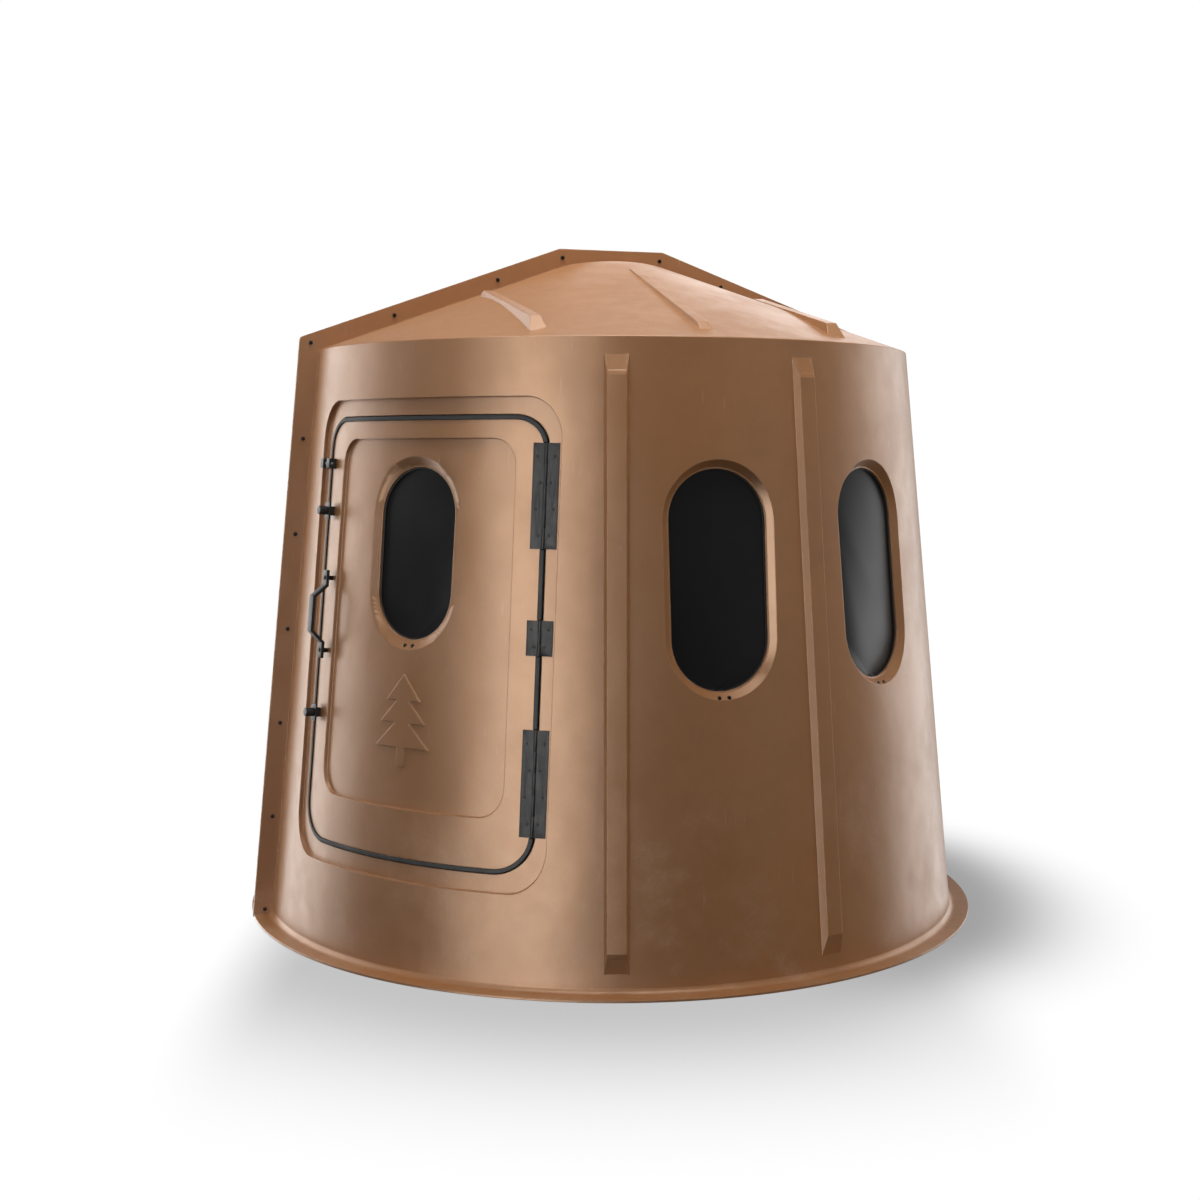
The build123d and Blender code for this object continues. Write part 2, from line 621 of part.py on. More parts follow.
def handle_line():
    """The bent bar's centre line as (y, z), foot to foot."""
    foot = HANDLE_STAND + HANDLE_T / 2
    grip = foot + HANDLE_RISE
    half, inner, straight = HANDLE_L / 2, HANDLE_L / 2 - HANDLE_FOOT, HANDLE_GRIP / 2
    return [(-half, foot), (-inner, foot), (-straight, grip), (straight, grip), (inner, foot), (half, foot)]


def bar_outline(line, thickness):
    """A strip of even thickness along a bent line, with mitred corners."""
    sides = ([], [])
    for i, (y, z) in enumerate(line):
        before = line[max(i - 1, 0)]
        after = line[min(i + 1, len(line) - 1)]
        into = Vector(y - before[0], z - before[1]) if i else Vector(after[0] - y, after[1] - z)
        outof = Vector(after[0] - y, after[1] - z) if i < len(line) - 1 else into
        u, v = into.normalized(), outof.normalized()
        mitre = Vector(-u.Y - v.Y, u.X + v.X).normalized()
        reach = thickness / 2 / (mitre.X * -u.Y + mitre.Y * u.X)
        for side, sign in zip(sides, (1, -1)):
            side.append((y + sign * mitre.X * reach, z + sign * mitre.Y * reach))
    return sides[0] + sides[1][::-1]


def handle_parts():
    """The bent pull handle and its two collared bolts."""
    plane = free_side_plane(HANDLE_Z, HANDLE_IN)
    bar = prism(Plane.XY, bar_outline(handle_line(), HANDLE_T), HANDLE_W / 2)
    bolts, holes = [], []
    top = HANDLE_STAND + HANDLE_T
    for y in (-1, 1):
        spot = Pos(0, y * (HANDLE_L - HANDLE_FOOT) / 2, 0)
        bar -= spot * rod(HANDLE_BOLT_R, 0, top + OVERCUT)
        bolt = rod(HANDLE_BOLT_R, -SCREW_LENGTH, top) + rod(HANDLE_COLLAR_R, 0, HANDLE_STAND)
        bolt += rod(HANDLE_HEAD_R, top, top + HANDLE_HEAD_H)
        bolts.append(plane * (spot * bolt))
        holes.append(plane * (spot * rod(HANDLE_BOLT_R, -2 * SCREW_LENGTH, OVERCUT)))
    return plane * bar, Compound(children=bolts), holes


def tree_emblem():
    """A plain fir tree, raised on the sunk panel."""
    across, facing = door_axes()
    plane = Plane(origin=(0, 0, 0), x_dir=across, z_dir=facing)
    half_trunk, trunk_h = TREE_TRUNK
    face = Pos(0, TREE_Z + trunk_h / 2) * Rectangle(2 * half_trunk, trunk_h)
    for half, foot, height in TREE_TIERS:
        base = TREE_Z + foot
        face += Polygon((-half, base), (half, base), (0, base + height), align=None)
    relief = extrude(plane * face, FAR, dir=facing)
    return relief & shell_of(TREE_RISE - REVEAL, -REVEAL - SKIN / 2)


# ---- whole pieces ----
def front_side(front):
    """The half of space that one shell fills."""
    y0, y1 = (-FAR, -SHELL_SPLIT) if front else (SHELL_SPLIT, FAR)
    return box(-FAR, FAR, y0, y1, -DEEP, CROWN_Z + 2 * DEEP)


def bolt_holes(r):
    turn = Rot(90, 0, 0)
    return [Pos(x, 0, z) * (turn * rod(r, -2 * FLANGE_T, 2 * FLANGE_T)) for x, z in bolt_points()]


def half_shell(front, window_angles):
    """One moulded half: wall, roof, flanges, ribs and window pockets."""
    middle = 270.0 if front else 90.0
    y0, y1 = (-SHELL_SPLIT - FLANGE_T, -SHELL_SPLIT) if front else (SHELL_SPLIT, SHELL_SPLIT + FLANGE_T)
    ribs = roof_ribs()
    if not front:
        ribs = [mirror(rib, Plane.XZ) for rib in ribs]
    ribs += [wall_rib(middle + turn, 0.0) for turn in (-RIB_ANGLE, RIB_ANGLE)]
    hollows = [wall_rib(middle + turn, SKIN) for turn in (-RIB_ANGLE, RIB_ANGLE)]
    planes = [window_plane(angle, SILL_Z, WALL_WINDOW, 0) for angle in window_angles]
    outer = (body_of_revolution(0, 0) + foot_flange()) & front_side(front)
    shell = outer + flange_plate(y0, y1, 0) + ribs
    shell = shell - [body_of_revolution(SKIN, -DEEP)] - hollows
    blocks = [window_block(WALL_WINDOW, plane) for plane in planes]
    shell = shell + [block & cone(0) for block in blocks]
    shell = shell - [pocket(WALL_WINDOW, plane) for plane in planes]
    shell = shell - [opening(WALL_WINDOW, plane) for plane in planes]
    for plane in planes:
        shell = shell - frame_screws(WALL_WINDOW, plane, SCREW_FIT)
    return shell - bolt_holes(BOLT_HOLE_R)


def door_frame(shell):
    """Sinks the door's recess into the front shell, cuts the doorway and adds jamb and stop."""
    back = -RECESS_D - SKIN
    shell = shell + (drafted_prism(*wider(RECESS, SKIN), RECESS_D) & shell_of(0, back))
    shell = shell - (drafted_prism(*RECESS, RECESS_D) - cone(-RECESS_D))
    shell = shell - door_prism(*grown(SEAL_HALF + SKIN / 2))
    stop = -RECESS_D - STOP_D
    jamb = door_prism(*grown(SEAL_HALF + SKIN)) - door_prism(*grown(SEAL_HALF))
    lip = door_prism(*grown(SEAL_HALF + SKIN)) - door_prism(*grown(-STOP_LAP))
    return shell + (jamb & shell_of(-RECESS_D, stop)) + (lip & shell_of(stop, stop - SKIN))


def door_panel(plane):
    """The moulded door: a skin with a deep edge, a sunk panel, the window pocket and the tree."""
    edge = -SEAL_HALF
    face = door_prism(*grown(edge)) & shell_of(-RECESS_D, -RECESS_D - DOOR_RIM_D)
    door = face - (door_prism(*grown(edge - DOOR_T)) & cone(-RECESS_D - DOOR_T))
    door = door + (drafted_prism(*wider(PANEL, DOOR_T), REVEAL)
                   & shell_of(-RECESS_D - DOOR_T / 2, -REVEAL - DOOR_T))
    door = door - (drafted_prism(*PANEL, REVEAL) - cone(-REVEAL))
    door = door + (window_block(DOOR_WINDOW, plane) & cone(-REVEAL)) + tree_emblem()
    door = door - pocket(DOOR_WINDOW, plane) - opening(DOOR_WINDOW, plane)
    return door - frame_screws(DOOR_WINDOW, plane, SCREW_FIT)


def door_seal():
    """The bulb seal on the door's edge, stopped short of each hinge."""
    ring = door_prism(*grown(SEAL_HALF - SEAL_SPARE)) - door_prism(*grown(-SEAL_HALF))
    ring = ring & shell_of(SEAL_PROUD - RECESS_D, -RECESS_D - SEAL_DEPTH)
    for _, z, length, _, _ in HINGES:
        half = length / 2 + SEAL_CUT
        ring = ring - hinge_plane(z) * box(-LEAF_W, LEAF_W, -half, half, -DEEP / 2, DEEP / 2)
    return ring


def flange_seal():
    plate = flange_plate(-SHELL_SPLIT, SHELL_SPLIT, SEAL_LIFT)
    return plate - [body_of_revolution(SKIN, -DEEP)] - bolt_holes(BOLT_HOLE_R)


def fixings():
    """Flange bolts, washers and nuts, each kind as one group."""
    seat = SHELL_SPLIT + FLANGE_T
    under_head = seat + WASHER_T
    tip = -under_head - NUT_H - BOLT_TIP
    hexagon = RegularPolygon(BOLT_HEAD_AF / 2, 6, major_radius=False)
    bolt = Pos(0, 0, under_head) * extrude(hexagon, BOLT_HEAD_H) + rod(BOLT_R, tip, under_head)
    ring = rod(WASHER_R, 0, WASHER_T) - rod(BOLT_HOLE_R, -OVERCUT, WASHER_T + OVERCUT)
    nut = Pos(0, 0, -under_head - NUT_H) * extrude(hexagon, NUT_H) - rod(BOLT_R, 2 * tip, 0)
    groups = {"flange_bolts": [bolt], "flange_nuts": [nut],
              "flange_washers": [Pos(0, 0, seat) * ring, Pos(0, 0, -under_head) * ring]}
    turn = Rot(90, 0, 0)
    return {name: Compound(children=[Pos(x, 0, z) * (turn * one) for x, z in bolt_points() for one in ones])
            for name, ones in groups.items()}


def gather(shapes):
    return Compound(children=list(shapes))


def build():
    parts = dict(fixings())
    front_angles = (270.0, 270.0 + SIDE_WINDOW_ANGLE)
    rear_angles = (90.0, 90.0 + REAR_WINDOW_ANGLE, 90.0 - REAR_WINDOW_ANGLE)
    door_plane = window_plane(DOOR_ANGLE, DOOR_SILL_Z, DOOR_WINDOW, REVEAL)
    shell = door_frame(half_shell(True, front_angles))
    door = door_panel(door_plane)
    parts["rear_shell"] = half_shell(False, rear_angles)
    parts["flange_seal"] = flange_seal()
    parts["door_seal"] = door_seal()

    wall_screws, door_screws, pins = [], [], []
    for name, z, length, knuckles, count in HINGES:
        plane = hinge_plane(z)
        parts[name + "_hinge_wall_leaf"] = plane * hinge_leaf(length, knuckles, count, 1)
        parts[name + "_hinge_door_leaf"] = plane * hinge_leaf(length, knuckles, count, -1)
        pins.append(plane * (Rot(-90, 0, 0) * rod(PIN_R, -length / 2, length / 2)))
        wall_screws += [plane * screw for screw in leaf_screws(length, count, 1)]
        door_screws += [plane * screw for screw in leaf_screws(length, count, -1)]
        shell = shell - [plane * hole for hole in leaf_screws(length, count, 1, SCREW_FIT)]
        door = door - [plane * hole for hole in leaf_screws(length, count, -1, SCREW_FIT)]
    parts["door_hinge_pins"] = gather(pins)
    parts["hinge_wall_screws"] = gather(wall_screws)
    parts["hinge_door_screws"] = gather(door_screws)

    for name, z in zip(("upper", "lower"), LATCH_Z):
        base, knob, cam = latch_parts(z)
        parts[name + "_latch_base"] = base
        parts[name + "_latch_knob"] = knob
        parts[name + "_latch_cam"] = cam
        door = door - free_side_plane(z, LATCH_IN) * rod(SPINDLE_R + RUN_FIT, -DEEP, DEEP)
    parts["door_lock_lug"] = lock_lug(LUG_OUT)
    parts["wall_lock_lug"] = lock_lug(-LUG_OUT)
    handle, handle_bolts, handle_holes = handle_parts()
    parts["pull_handle"] = handle
    parts["handle_bolts"] = handle_bolts
    parts["door_panel"] = door - handle_holes
    parts["front_shell"] = shell

    frame_fixings = []
    windows = {"front": front_angles[0], "right": front_angles[1], "rear": rear_angles[0],
               "rear_left": rear_angles[1], "rear_right": rear_angles[2]}
    for name, angle in windows.items():
        plane = window_plane(angle, SILL_Z, WALL_WINDOW, 0)
        for piece, shape in window_parts(WALL_WINDOW, plane).items():
            parts[name + "_window_" + piece] = shape
        frame_fixings += frame_screws(WALL_WINDOW, plane)
    parts["window_frame_screws"] = gather(frame_fixings)
    for piece, shape in window_parts(DOOR_WINDOW, door_plane).items():
        parts["door_window_" + piece] = shape
    parts["door_window_frame_screws"] = gather(frame_screws(DOOR_WINDOW, door_plane))
    return parts


os.makedirs("parts", exist_ok=True)
for node, shape in build().items():
    export_step(shape, "parts/" + node + ".step")
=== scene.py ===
import json
from math import cos, pi, radians, sin, sqrt

import bmesh
import bpy
from mathutils import Matrix, Vector


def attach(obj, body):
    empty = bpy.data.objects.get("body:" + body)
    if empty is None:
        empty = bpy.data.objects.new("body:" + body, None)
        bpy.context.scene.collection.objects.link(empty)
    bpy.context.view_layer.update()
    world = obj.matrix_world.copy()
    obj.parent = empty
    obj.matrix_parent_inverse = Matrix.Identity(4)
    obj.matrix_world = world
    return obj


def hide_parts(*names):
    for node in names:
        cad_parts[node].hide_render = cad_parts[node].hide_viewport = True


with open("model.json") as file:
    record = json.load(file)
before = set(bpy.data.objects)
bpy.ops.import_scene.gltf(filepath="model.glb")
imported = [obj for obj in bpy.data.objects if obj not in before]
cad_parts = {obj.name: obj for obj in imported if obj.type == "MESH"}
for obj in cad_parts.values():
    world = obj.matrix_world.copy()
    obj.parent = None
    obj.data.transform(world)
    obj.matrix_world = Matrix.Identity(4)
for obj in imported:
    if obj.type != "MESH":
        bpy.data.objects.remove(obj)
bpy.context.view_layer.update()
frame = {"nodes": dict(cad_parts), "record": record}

nodes = frame["nodes"]

# ---- camera ----
LENS_MM = 49.52
SENSOR_MM = 36.0
STANDPOINT = (-1.5988, -5.0724, 1.4149)
PART_TURN = 17.495          # the camera's forward direction, turned from +Y about Z, degrees
CAMERA_YAW = 0.356
CAMERA_PITCH = 5.017
CAMERA_ROLL = 0.067


def add_camera():
    yaw, pitch = radians(-CAMERA_YAW), radians(-CAMERA_PITCH)
    ahead = Vector((sin(yaw) * cos(pitch), cos(yaw) * cos(pitch), sin(pitch)))
    ahead = Matrix.Rotation(radians(-PART_TURN), 3, "Z") @ ahead
    data = bpy.data.cameras.new("camera")
    data.lens = LENS_MM
    data.sensor_width = SENSOR_MM
    camera = bpy.data.objects.new("camera", data)
    bpy.context.scene.collection.objects.link(camera)
    camera.rotation_mode = "QUATERNION"
    aim = ahead.to_track_quat("-Z", "Y")
    camera.rotation_quaternion = aim @ Matrix.Rotation(radians(CAMERA_ROLL), 3, "Z").to_quaternion()
    camera.location = STANDPOINT
    bpy.context.scene.camera = camera


add_camera()


# ---- node helpers ----
class Graph:
    """A node tree with short ways to add nodes and join them."""

    def __init__(self, tree):
        self.tree = tree
        self.nodes = tree.nodes

    def add(self, kind, values=None, **settings):
        """A node; settings are its own, values fill its inputs or join them to an output."""
        node = self.nodes.new("ShaderNode" + kind)
        for key, value in settings.items():
            setattr(node, key, value)
        for key, value in (values or {}).items():
            self.put(node.inputs[key], value)
        return node

    def put(self, socket, value):
        if isinstance(value, bpy.types.NodeSocket):
            self.tree.links.new(value, socket)
        else:
            socket.default_value = value

    def math(self, operation, a, b=0.0):
        node = self.add("Math", {0: a, 1: b}, operation=operation)
        return node.outputs[0]

    def ramp(self, value, low, high, to_low=0.0, to_high=1.0):
        """A value mapped smoothly from one range to another."""
        values = {"Value": value, "From Min": low, "From Max": high,
                  "To Min": to_low, "To Max": to_high}
        return self.add("MapRange", values, interpolation_type="SMOOTHSTEP").outputs["Result"]

    def noise(self, scale, detail=2.0, place=None, rough=0.5):
        """Smooth noise; it follows the object's own coordinates unless a place is given."""
        values = {"Scale": scale, "Detail": detail, "Roughness": rough,
                  "Vector": self.place() if place is None else place}
        return self.add("TexNoise", values).outputs["Fac"]

    def place(self, scale=(1, 1, 1)):
        """Object coordinates, stretched where asked."""
        coords = self.add("TexCoord").outputs["Object"]
        if scale == (1, 1, 1):
            return coords
        return self.add("Mapping", {"Vector": coords, "Scale": scale}).outputs["Vector"]

    def blend(self, mask, a, b):
        """Colour a where the mask is 0 and b where it is 1."""
        node = self.add("Mix", {0: mask, 6: a, 7: b}, data_type="RGBA")
        return node.outputs[2]

    def use(self, group, values=None):
        """The outputs of a node group."""
        node = self.nodes.new("ShaderNodeGroup")
        node.node_tree = group
        for key, value in (values or {}).items():
            self.put(node.inputs[key], value)
        return node.outputs


def colour(r, g, b):
    return (r, g, b, 1.0)


def new_group(name, inputs, outputs):
    """An empty node group with number inputs and number outputs."""
    tree = bpy.data.node_groups.new(name, "ShaderNodeTree")
    for label, value in inputs.items():
        socket = tree.interface.new_socket(label, in_out="INPUT", socket_type="NodeSocketFloat")
        socket.default_value = value
    for label in outputs:
        tree.interface.new_socket(label, in_out="OUTPUT", socket_type="NodeSocketFloat")
    g = Graph(tree)
    return g, tree.nodes.new("NodeGroupInput").outputs, tree.nodes.new("NodeGroupOutput").inputs


def grain_group():
    """Fine raised grain of a moulded or coated face, as a height."""
    g, given, out = new_group("fine_grain", {"Scale": 500.0, "Coarse": 0.35}, ["Height"])
    fine = g.noise(given["Scale"], 2.0)
    coarse = g.noise(g.math("MULTIPLY", given["Scale"], 0.14), 3.0)
    g.put(out["Height"], g.math("ADD", fine, g.math("MULTIPLY", coarse, given["Coarse"])))
    return g.tree


def mottle_group():
    """Slow cloudy variation over a face, from 0 to 1."""
    g, given, out = new_group("cloudy_mottle", {"Scale": 3.0}, ["Mask"])
    wide = g.noise(given["Scale"], 4.0, rough=0.6)
    close = g.noise(g.math("MULTIPLY", given["Scale"], 6.3), 5.0, rough=0.65)
    both = g.math("ADD", g.math("MULTIPLY", wide, 0.62), g.math("MULTIPLY", close, 0.38))
    g.put(out["Mask"], g.ramp(both, 0.32, 0.68))
    return g.tree


def wear_group():
    """Rubbed edges: 1 on sharp edges, broken up, and 0 on open faces."""
    g, given, out = new_group("rubbed_edges", {"Radius": 0.004, "Breakup": 30.0}, ["Mask"])
    bevel = g.add("Bevel", {"Radius": given["Radius"]}, samples=3)
    face = g.add("NewGeometry")
    dot = g.add("VectorMath", {0: bevel.outputs[0], 1: face.outputs["Normal"]},
                operation="DOT_PRODUCT")
    edge = g.ramp(dot.outputs["Value"], 0.975, 0.84)
    patch = g.ramp(g.noise(given["Breakup"], 4.0, rough=0.7), 0.42, 0.62)
    g.put(out["Mask"], g.math("MULTIPLY", edge, patch))
    return g.tree


def dust_group():
    """Dry dust that clings in patches, thickest near the ground."""
    g, given, out = new_group("dry_dust", {"Height": 1.0, "Patch": 4.5}, ["Mask"])
    up = g.add("SeparateXYZ", {0: g.place()}).outputs["Z"]
    low = g.ramp(g.math("DIVIDE", up, given["Height"]), 1.0, 0.0)
    cloud = g.ramp(g.noise(given["Patch"], 6.0, rough=0.68), 0.46, 0.72)
    speck = g.ramp(g.noise(g.math("MULTIPLY", given["Patch"], 22.0), 3.0, rough=0.7), 0.40, 0.66)
    thick = g.math("ADD", g.math("MULTIPLY", speck, 0.55), 0.45)
    g.put(out["Mask"], g.math("MULTIPLY", g.math("MULTIPLY", low, cloud), thick))
    return g.tree


def scuff_group():
    """Faint drawn scuffs, mostly upright."""
    g, given, out = new_group("fine_scuffs", {"Scale": 9.0}, ["Mask"])
    drawn = g.place((1.0, 1.0, 0.10))
    lines = g.noise(g.math("MULTIPLY", given["Scale"], 14.0), 2.0, drawn)
    where = g.noise(given["Scale"], 3.0)
    g.put(out["Mask"], g.math("MULTIPLY", g.ramp(lines, 0.63, 0.72), g.ramp(where, 0.50, 0.66)))
    return g.tree


GRAIN = grain_group()
MOTTLE = mottle_group()
WEAR = wear_group()
DUST = dust_group()
SCUFF = scuff_group()


# ---- stage ----
FLOOR_HALF = 60.0
AMBIENT = 0.25              # even light from above the horizon
BOUNCE = 0.07               # and from the floor's side
BACKDROP = 1.02             # brightness of the white behind and below
FOOT_EDGE = 1.15                # the floor's shade starts this far from the middle
FRONT_SHADE = (0.47, 0.60)      # depth of the soft shade before the foot, and its reach
FRONT_HALF = (1.16, 0.84)       # the shade ends between these distances to each side
SIDE_SHADE = (0.66, 0.30)       # the same on the side away from the main light
SHADE_SIDE = 88.0               # direction of that side
SIDE_BLEND = (0.35, 0.95)       # one shade turns into the other between these cosines from it
HORIZON = (-0.15, 0.10)         # the even light changes over this rise


def round_object(azimuth, distance, height):
    """A point round the object, azimuth 0 on the camera's side and growing to its right."""
    a = radians(azimuth - PART_TURN)
    return Vector((sin(a) * distance, -cos(a) * distance, height))


def new_material(name):
    material = bpy.data.materials.new(name)
    material.use_nodes = True
    g = Graph(material.node_tree)
    return material, g, g.nodes["Principled BSDF"], g.nodes["Material Output"].inputs["Surface"]


def add_floor():
    """A white sweep with a soft shade round the foot. Only the camera sees it."""
    mesh = bpy.data.meshes.new("floor")
    bm = bmesh.new()
    bmesh.ops.create_grid(bm, x_segments=1, y_segments=1, size=FLOOR_HALF)
    bm.to_mesh(mesh)
    bm.free()
    floor = bpy.data.objects.new("floor", mesh)
    bpy.context.scene.collection.objects.link(floor)
    material, g, _, surface = new_material("pale_floor")
    place = g.place()
    reach = g.add("VectorMath", {0: place}, operation="LENGTH").outputs["Value"]
    away = g.math("MAXIMUM", g.math("SUBTRACT", reach, FOOT_EDGE), 0.0)
    unit = g.add("VectorMath", {0: place}, operation="NORMALIZE").outputs["Vector"]
    side = g.add("VectorMath", {0: unit, 1: round_object(SHADE_SIDE, 1.0, 0.0)},
                 operation="DOT_PRODUCT")
    turn = g.ramp(side.outputs["Value"], *SIDE_BLEND)
    across = g.add("VectorMath", {0: place, 1: round_object(90.0, 1.0, 0.0)},
                   operation="DOT_PRODUCT")
    ends = g.ramp(g.math("ABSOLUTE", across.outputs["Value"]), *FRONT_HALF)
    shades = []
    for depth, length in (FRONT_SHADE, SIDE_SHADE):
        fall = g.math("POWER", g.math("DIVIDE", away, length), 2.0)
        shades.append(g.math("MULTIPLY", g.math("EXPONENT", g.math("MULTIPLY", fall, -1.0)), depth))
    shade = g.add("Mix", {0: turn, 2: g.math("MULTIPLY", shades[0], ends), 3: shades[1]}).outputs[0]
    glow = g.add("Emission", {"Color": colour(1, 1, 1),
                              "Strength": g.math("SUBTRACT", BACKDROP, shade)})
    g.put(surface, glow.outputs[0])
    mesh.materials.append(material)
    floor.visible_diffuse = floor.visible_glossy = floor.visible_shadow = False


def add_world():
    """A white backdrop to look at, and a dim even light."""
    world = bpy.data.worlds.new("studio")
    world.use_nodes = True
    bpy.context.scene.world = world
    g = Graph(world.node_tree)
    up = g.add("SeparateXYZ", {0: g.add("TexCoord").outputs["Generated"]}).outputs["Z"]
    even = g.ramp(up, *HORIZON, BOUNCE, AMBIENT)
    seen = g.add("LightPath").outputs["Is Camera Ray"]
    strength = g.add("Mix", {0: seen, 2: even, 3: BACKDROP}).outputs[0]
    g.put(g.nodes["Background"].inputs["Strength"], strength)
    g.put(g.nodes["Background"].inputs["Color"], colour(1, 1, 1))


# name, azimuth, distance, height, size of the box, radiance, height aimed at, what it gives
LIGHTS = (
    ("key_left", -24.5, 4.6, 1.0, (2.5, 4.6), 6.6, 0.9, "sheen"),
    ("rim_left", -115, 4.0, 1.0, (3.7, 4.6), 3.8, 0.9, "sheen"),
    ("rim_right", 115, 4.0, 1.0, (3.0, 4.6), 2.5, 0.9, "sheen"),
    ("rim_back", 165, 4.0, 3.6, (3.0, 1.6), 2.0, 1.9, "sheen"),
    ("fill_left", -78, 4.5, 1.9, (2.0, 3.0), 2.0, 1.0, "fill"),
    ("fill_right", 52, 4.5, 1.9, (2.0, 3.0), 2.1, 1.0, "fill"),
    ("fill_back", 190, 4.5, 1.9, (2.4, 3.0), 2.2, 1.0, "fill"),
    ("top", -10, 0.8, 4.5, (3.0, 2.8), 5.2, 0.6, "both"),
)


def area_light(name, azimuth, distance, height, size, radiance, aim_height, gives):
    """A softbox turned to the object's axis; it gives sheen, fill or both."""
    data = bpy.data.lights.new(name, "AREA")
    data.shape = "RECTANGLE"
    data.size, data.size_y = size
    data.energy = radiance * pi * size[0] * size[1]
    light = bpy.data.objects.new(name, data)
    bpy.context.scene.collection.objects.link(light)
    light.location = round_object(azimuth, distance, height)
    light.rotation_mode = "QUATERNION"
    light.rotation_quaternion = (Vector((0, 0, aim_height)) - light.location).to_track_quat("-Z", "Y")
    light.visible_camera = False
    light.visible_diffuse = gives != "sheen"
    light.visible_glossy = gives != "fill"


bpy.context.scene.view_settings.view_transform = "Standard"
add_floor()
add_world()
for row in LIGHTS:
    area_light(*row)


# ---- materials ----
SHELL_BASE = colour(0.335, 0.148, 0.056)
SHELL_DEEP = colour(0.285, 0.122, 0.045)
SHELL_SHEEN = colour(1.0, 0.74, 0.55)
DUST_TONE = colour(0.52, 0.36, 0.25)
RUB_TONE = colour(0.50, 0.33, 0.22)
STEEL_RUBBED = colour(0.07, 0.066, 0.062)
WALL_RISE = (0.05, 0.13)        # upward part of the wall's normal lies between these
WALL_MATCH = (0.940, 0.962)     # a face follows the wall between these cosines from its normal


def wall_lean():
    """The level and upward parts of the conical wall's normal, from the front shell's faces."""
    total, height = 0.0, 0.0
    for face in nodes["front_shell"].data.polygons:
        out = face.normal.x * face.center.x + face.normal.y * face.center.y
        if out > 0 and WALL_RISE[0] < face.normal.z < WALL_RISE[1]:
            total += face.area
            height += face.area * face.normal.z
    rise = height / total
    return sqrt(1 - rise * rise), rise


def true_wall_normal(g, rounded):
    """The exact normal of the conical wall where a face follows it, and the rounded one elsewhere."""
    level, rise = wall_lean()
    spot = g.add("VectorMath", {0: g.place(), 1: (1, 1, 0)}, operation="MULTIPLY")
    unit = g.add("VectorMath", {0: spot.outputs["Vector"]}, operation="NORMALIZE")
    out = g.add("VectorMath", {0: unit.outputs["Vector"], 1: (level, level, 0), 2: (0, 0, rise)},
                operation="MULTIPLY_ADD")
    turned = g.add("VectorTransform", {0: out.outputs["Vector"]}, vector_type="NORMAL",
                   convert_from="OBJECT", convert_to="WORLD").outputs["Vector"]
    match = g.add("VectorMath", {0: turned, 1: rounded}, operation="DOT_PRODUCT").outputs["Value"]
    facing = g.add("VectorMath", {0: turned, "Scale": g.math("SIGN", match)}, operation="SCALE")
    mask = g.ramp(g.math("ABSOLUTE", match), *WALL_MATCH)
    mixed = g.add("Mix", {0: mask, 4: rounded, 5: facing.outputs["Vector"]}, data_type="VECTOR")
    return g.add("VectorMath", {0: mixed.outputs[1]}, operation="NORMALIZE").outputs["Vector"]


def moulded_polyethylene():
    """Tan moulded plastic: cloudy colour, pebbled grain, rubbed edges, scuffs and dry dust."""
    material, g, paint, _ = new_material("moulded_polyethylene")
    mottle = g.use(MOTTLE, {"Scale": 2.6})["Mask"]
    dust = g.use(DUST, {"Height": 0.9, "Patch": 4.2})["Mask"]
    wear = g.use(WEAR, {"Radius": 0.006, "Breakup": 26.0})["Mask"]
    scuff = g.use(SCUFF, {"Scale": 7.0})["Mask"]
    tone = g.blend(mottle, SHELL_DEEP, SHELL_BASE)
    tone = g.blend(g.math("MULTIPLY", dust, 0.34), tone, DUST_TONE)
    tone = g.blend(g.math("MULTIPLY", scuff, 0.16), tone, DUST_TONE)
    tone = g.blend(g.math("MULTIPLY", wear, 0.45), tone, RUB_TONE)
    g.put(paint.inputs["Base Color"], tone)
    rough = g.ramp(mottle, 0.0, 1.0, 0.42, 0.33)
    g.put(paint.inputs["Roughness"], g.math("ADD", rough, g.math("MULTIPLY", dust, 0.16)))
    paint.inputs["Specular IOR Level"].default_value = 1.0
    paint.inputs["Specular Tint"].default_value = SHELL_SHEEN
    rounded = g.add("Bevel", {"Radius": 0.004}, samples=4)
    wave = g.add("Bump", {"Strength": 0.35, "Distance": 0.01, "Height": g.noise(4.5, 2.0),
                          "Normal": true_wall_normal(g, rounded.outputs[0])})
    grain = g.use(GRAIN, {"Scale": 420.0, "Coarse": 0.8})["Height"]
    bump = g.add("Bump", {"Strength": 0.30, "Distance": 0.0006, "Height": grain,
                          "Normal": wave.outputs[0]})
    g.put(paint.inputs["Normal"], bump.outputs[0])
    return material


def relief(g, paint, height, strength, distance):
    """Raises a material's face by a height, given as a value."""
    bump = g.add("Bump", {"Strength": strength, "Distance": distance, "Height": height})
    g.put(paint.inputs["Normal"], bump.outputs[0])


def coated_steel(name, base, rough, spec, grain_scale, rubbed=STEEL_RUBBED):
    """Black powder coat: fine orange peel, slightly rubbed edges and a little dust."""
    material, g, paint, _ = new_material(name)
    mottle = g.use(MOTTLE, {"Scale": 24.0})["Mask"]
    wear = g.use(WEAR, {"Radius": 0.0012, "Breakup": 160.0})["Mask"]
    dust = g.use(DUST, {"Height": 2.6, "Patch": 40.0})["Mask"]
    tone = g.blend(g.math("MULTIPLY", wear, 0.6), base, rubbed)
    tone = g.blend(g.math("MULTIPLY", dust, 0.05), tone, DUST_TONE)
    g.put(paint.inputs["Base Color"], tone)
    g.put(paint.inputs["Roughness"], g.ramp(mottle, 0.0, 1.0, rough + 0.08, rough - 0.04))
    paint.inputs["Specular IOR Level"].default_value = spec
    grain = g.use(GRAIN, {"Scale": grain_scale, "Coarse": 0.5})["Height"]
    relief(g, paint, grain, 0.35, 0.0002)
    return material


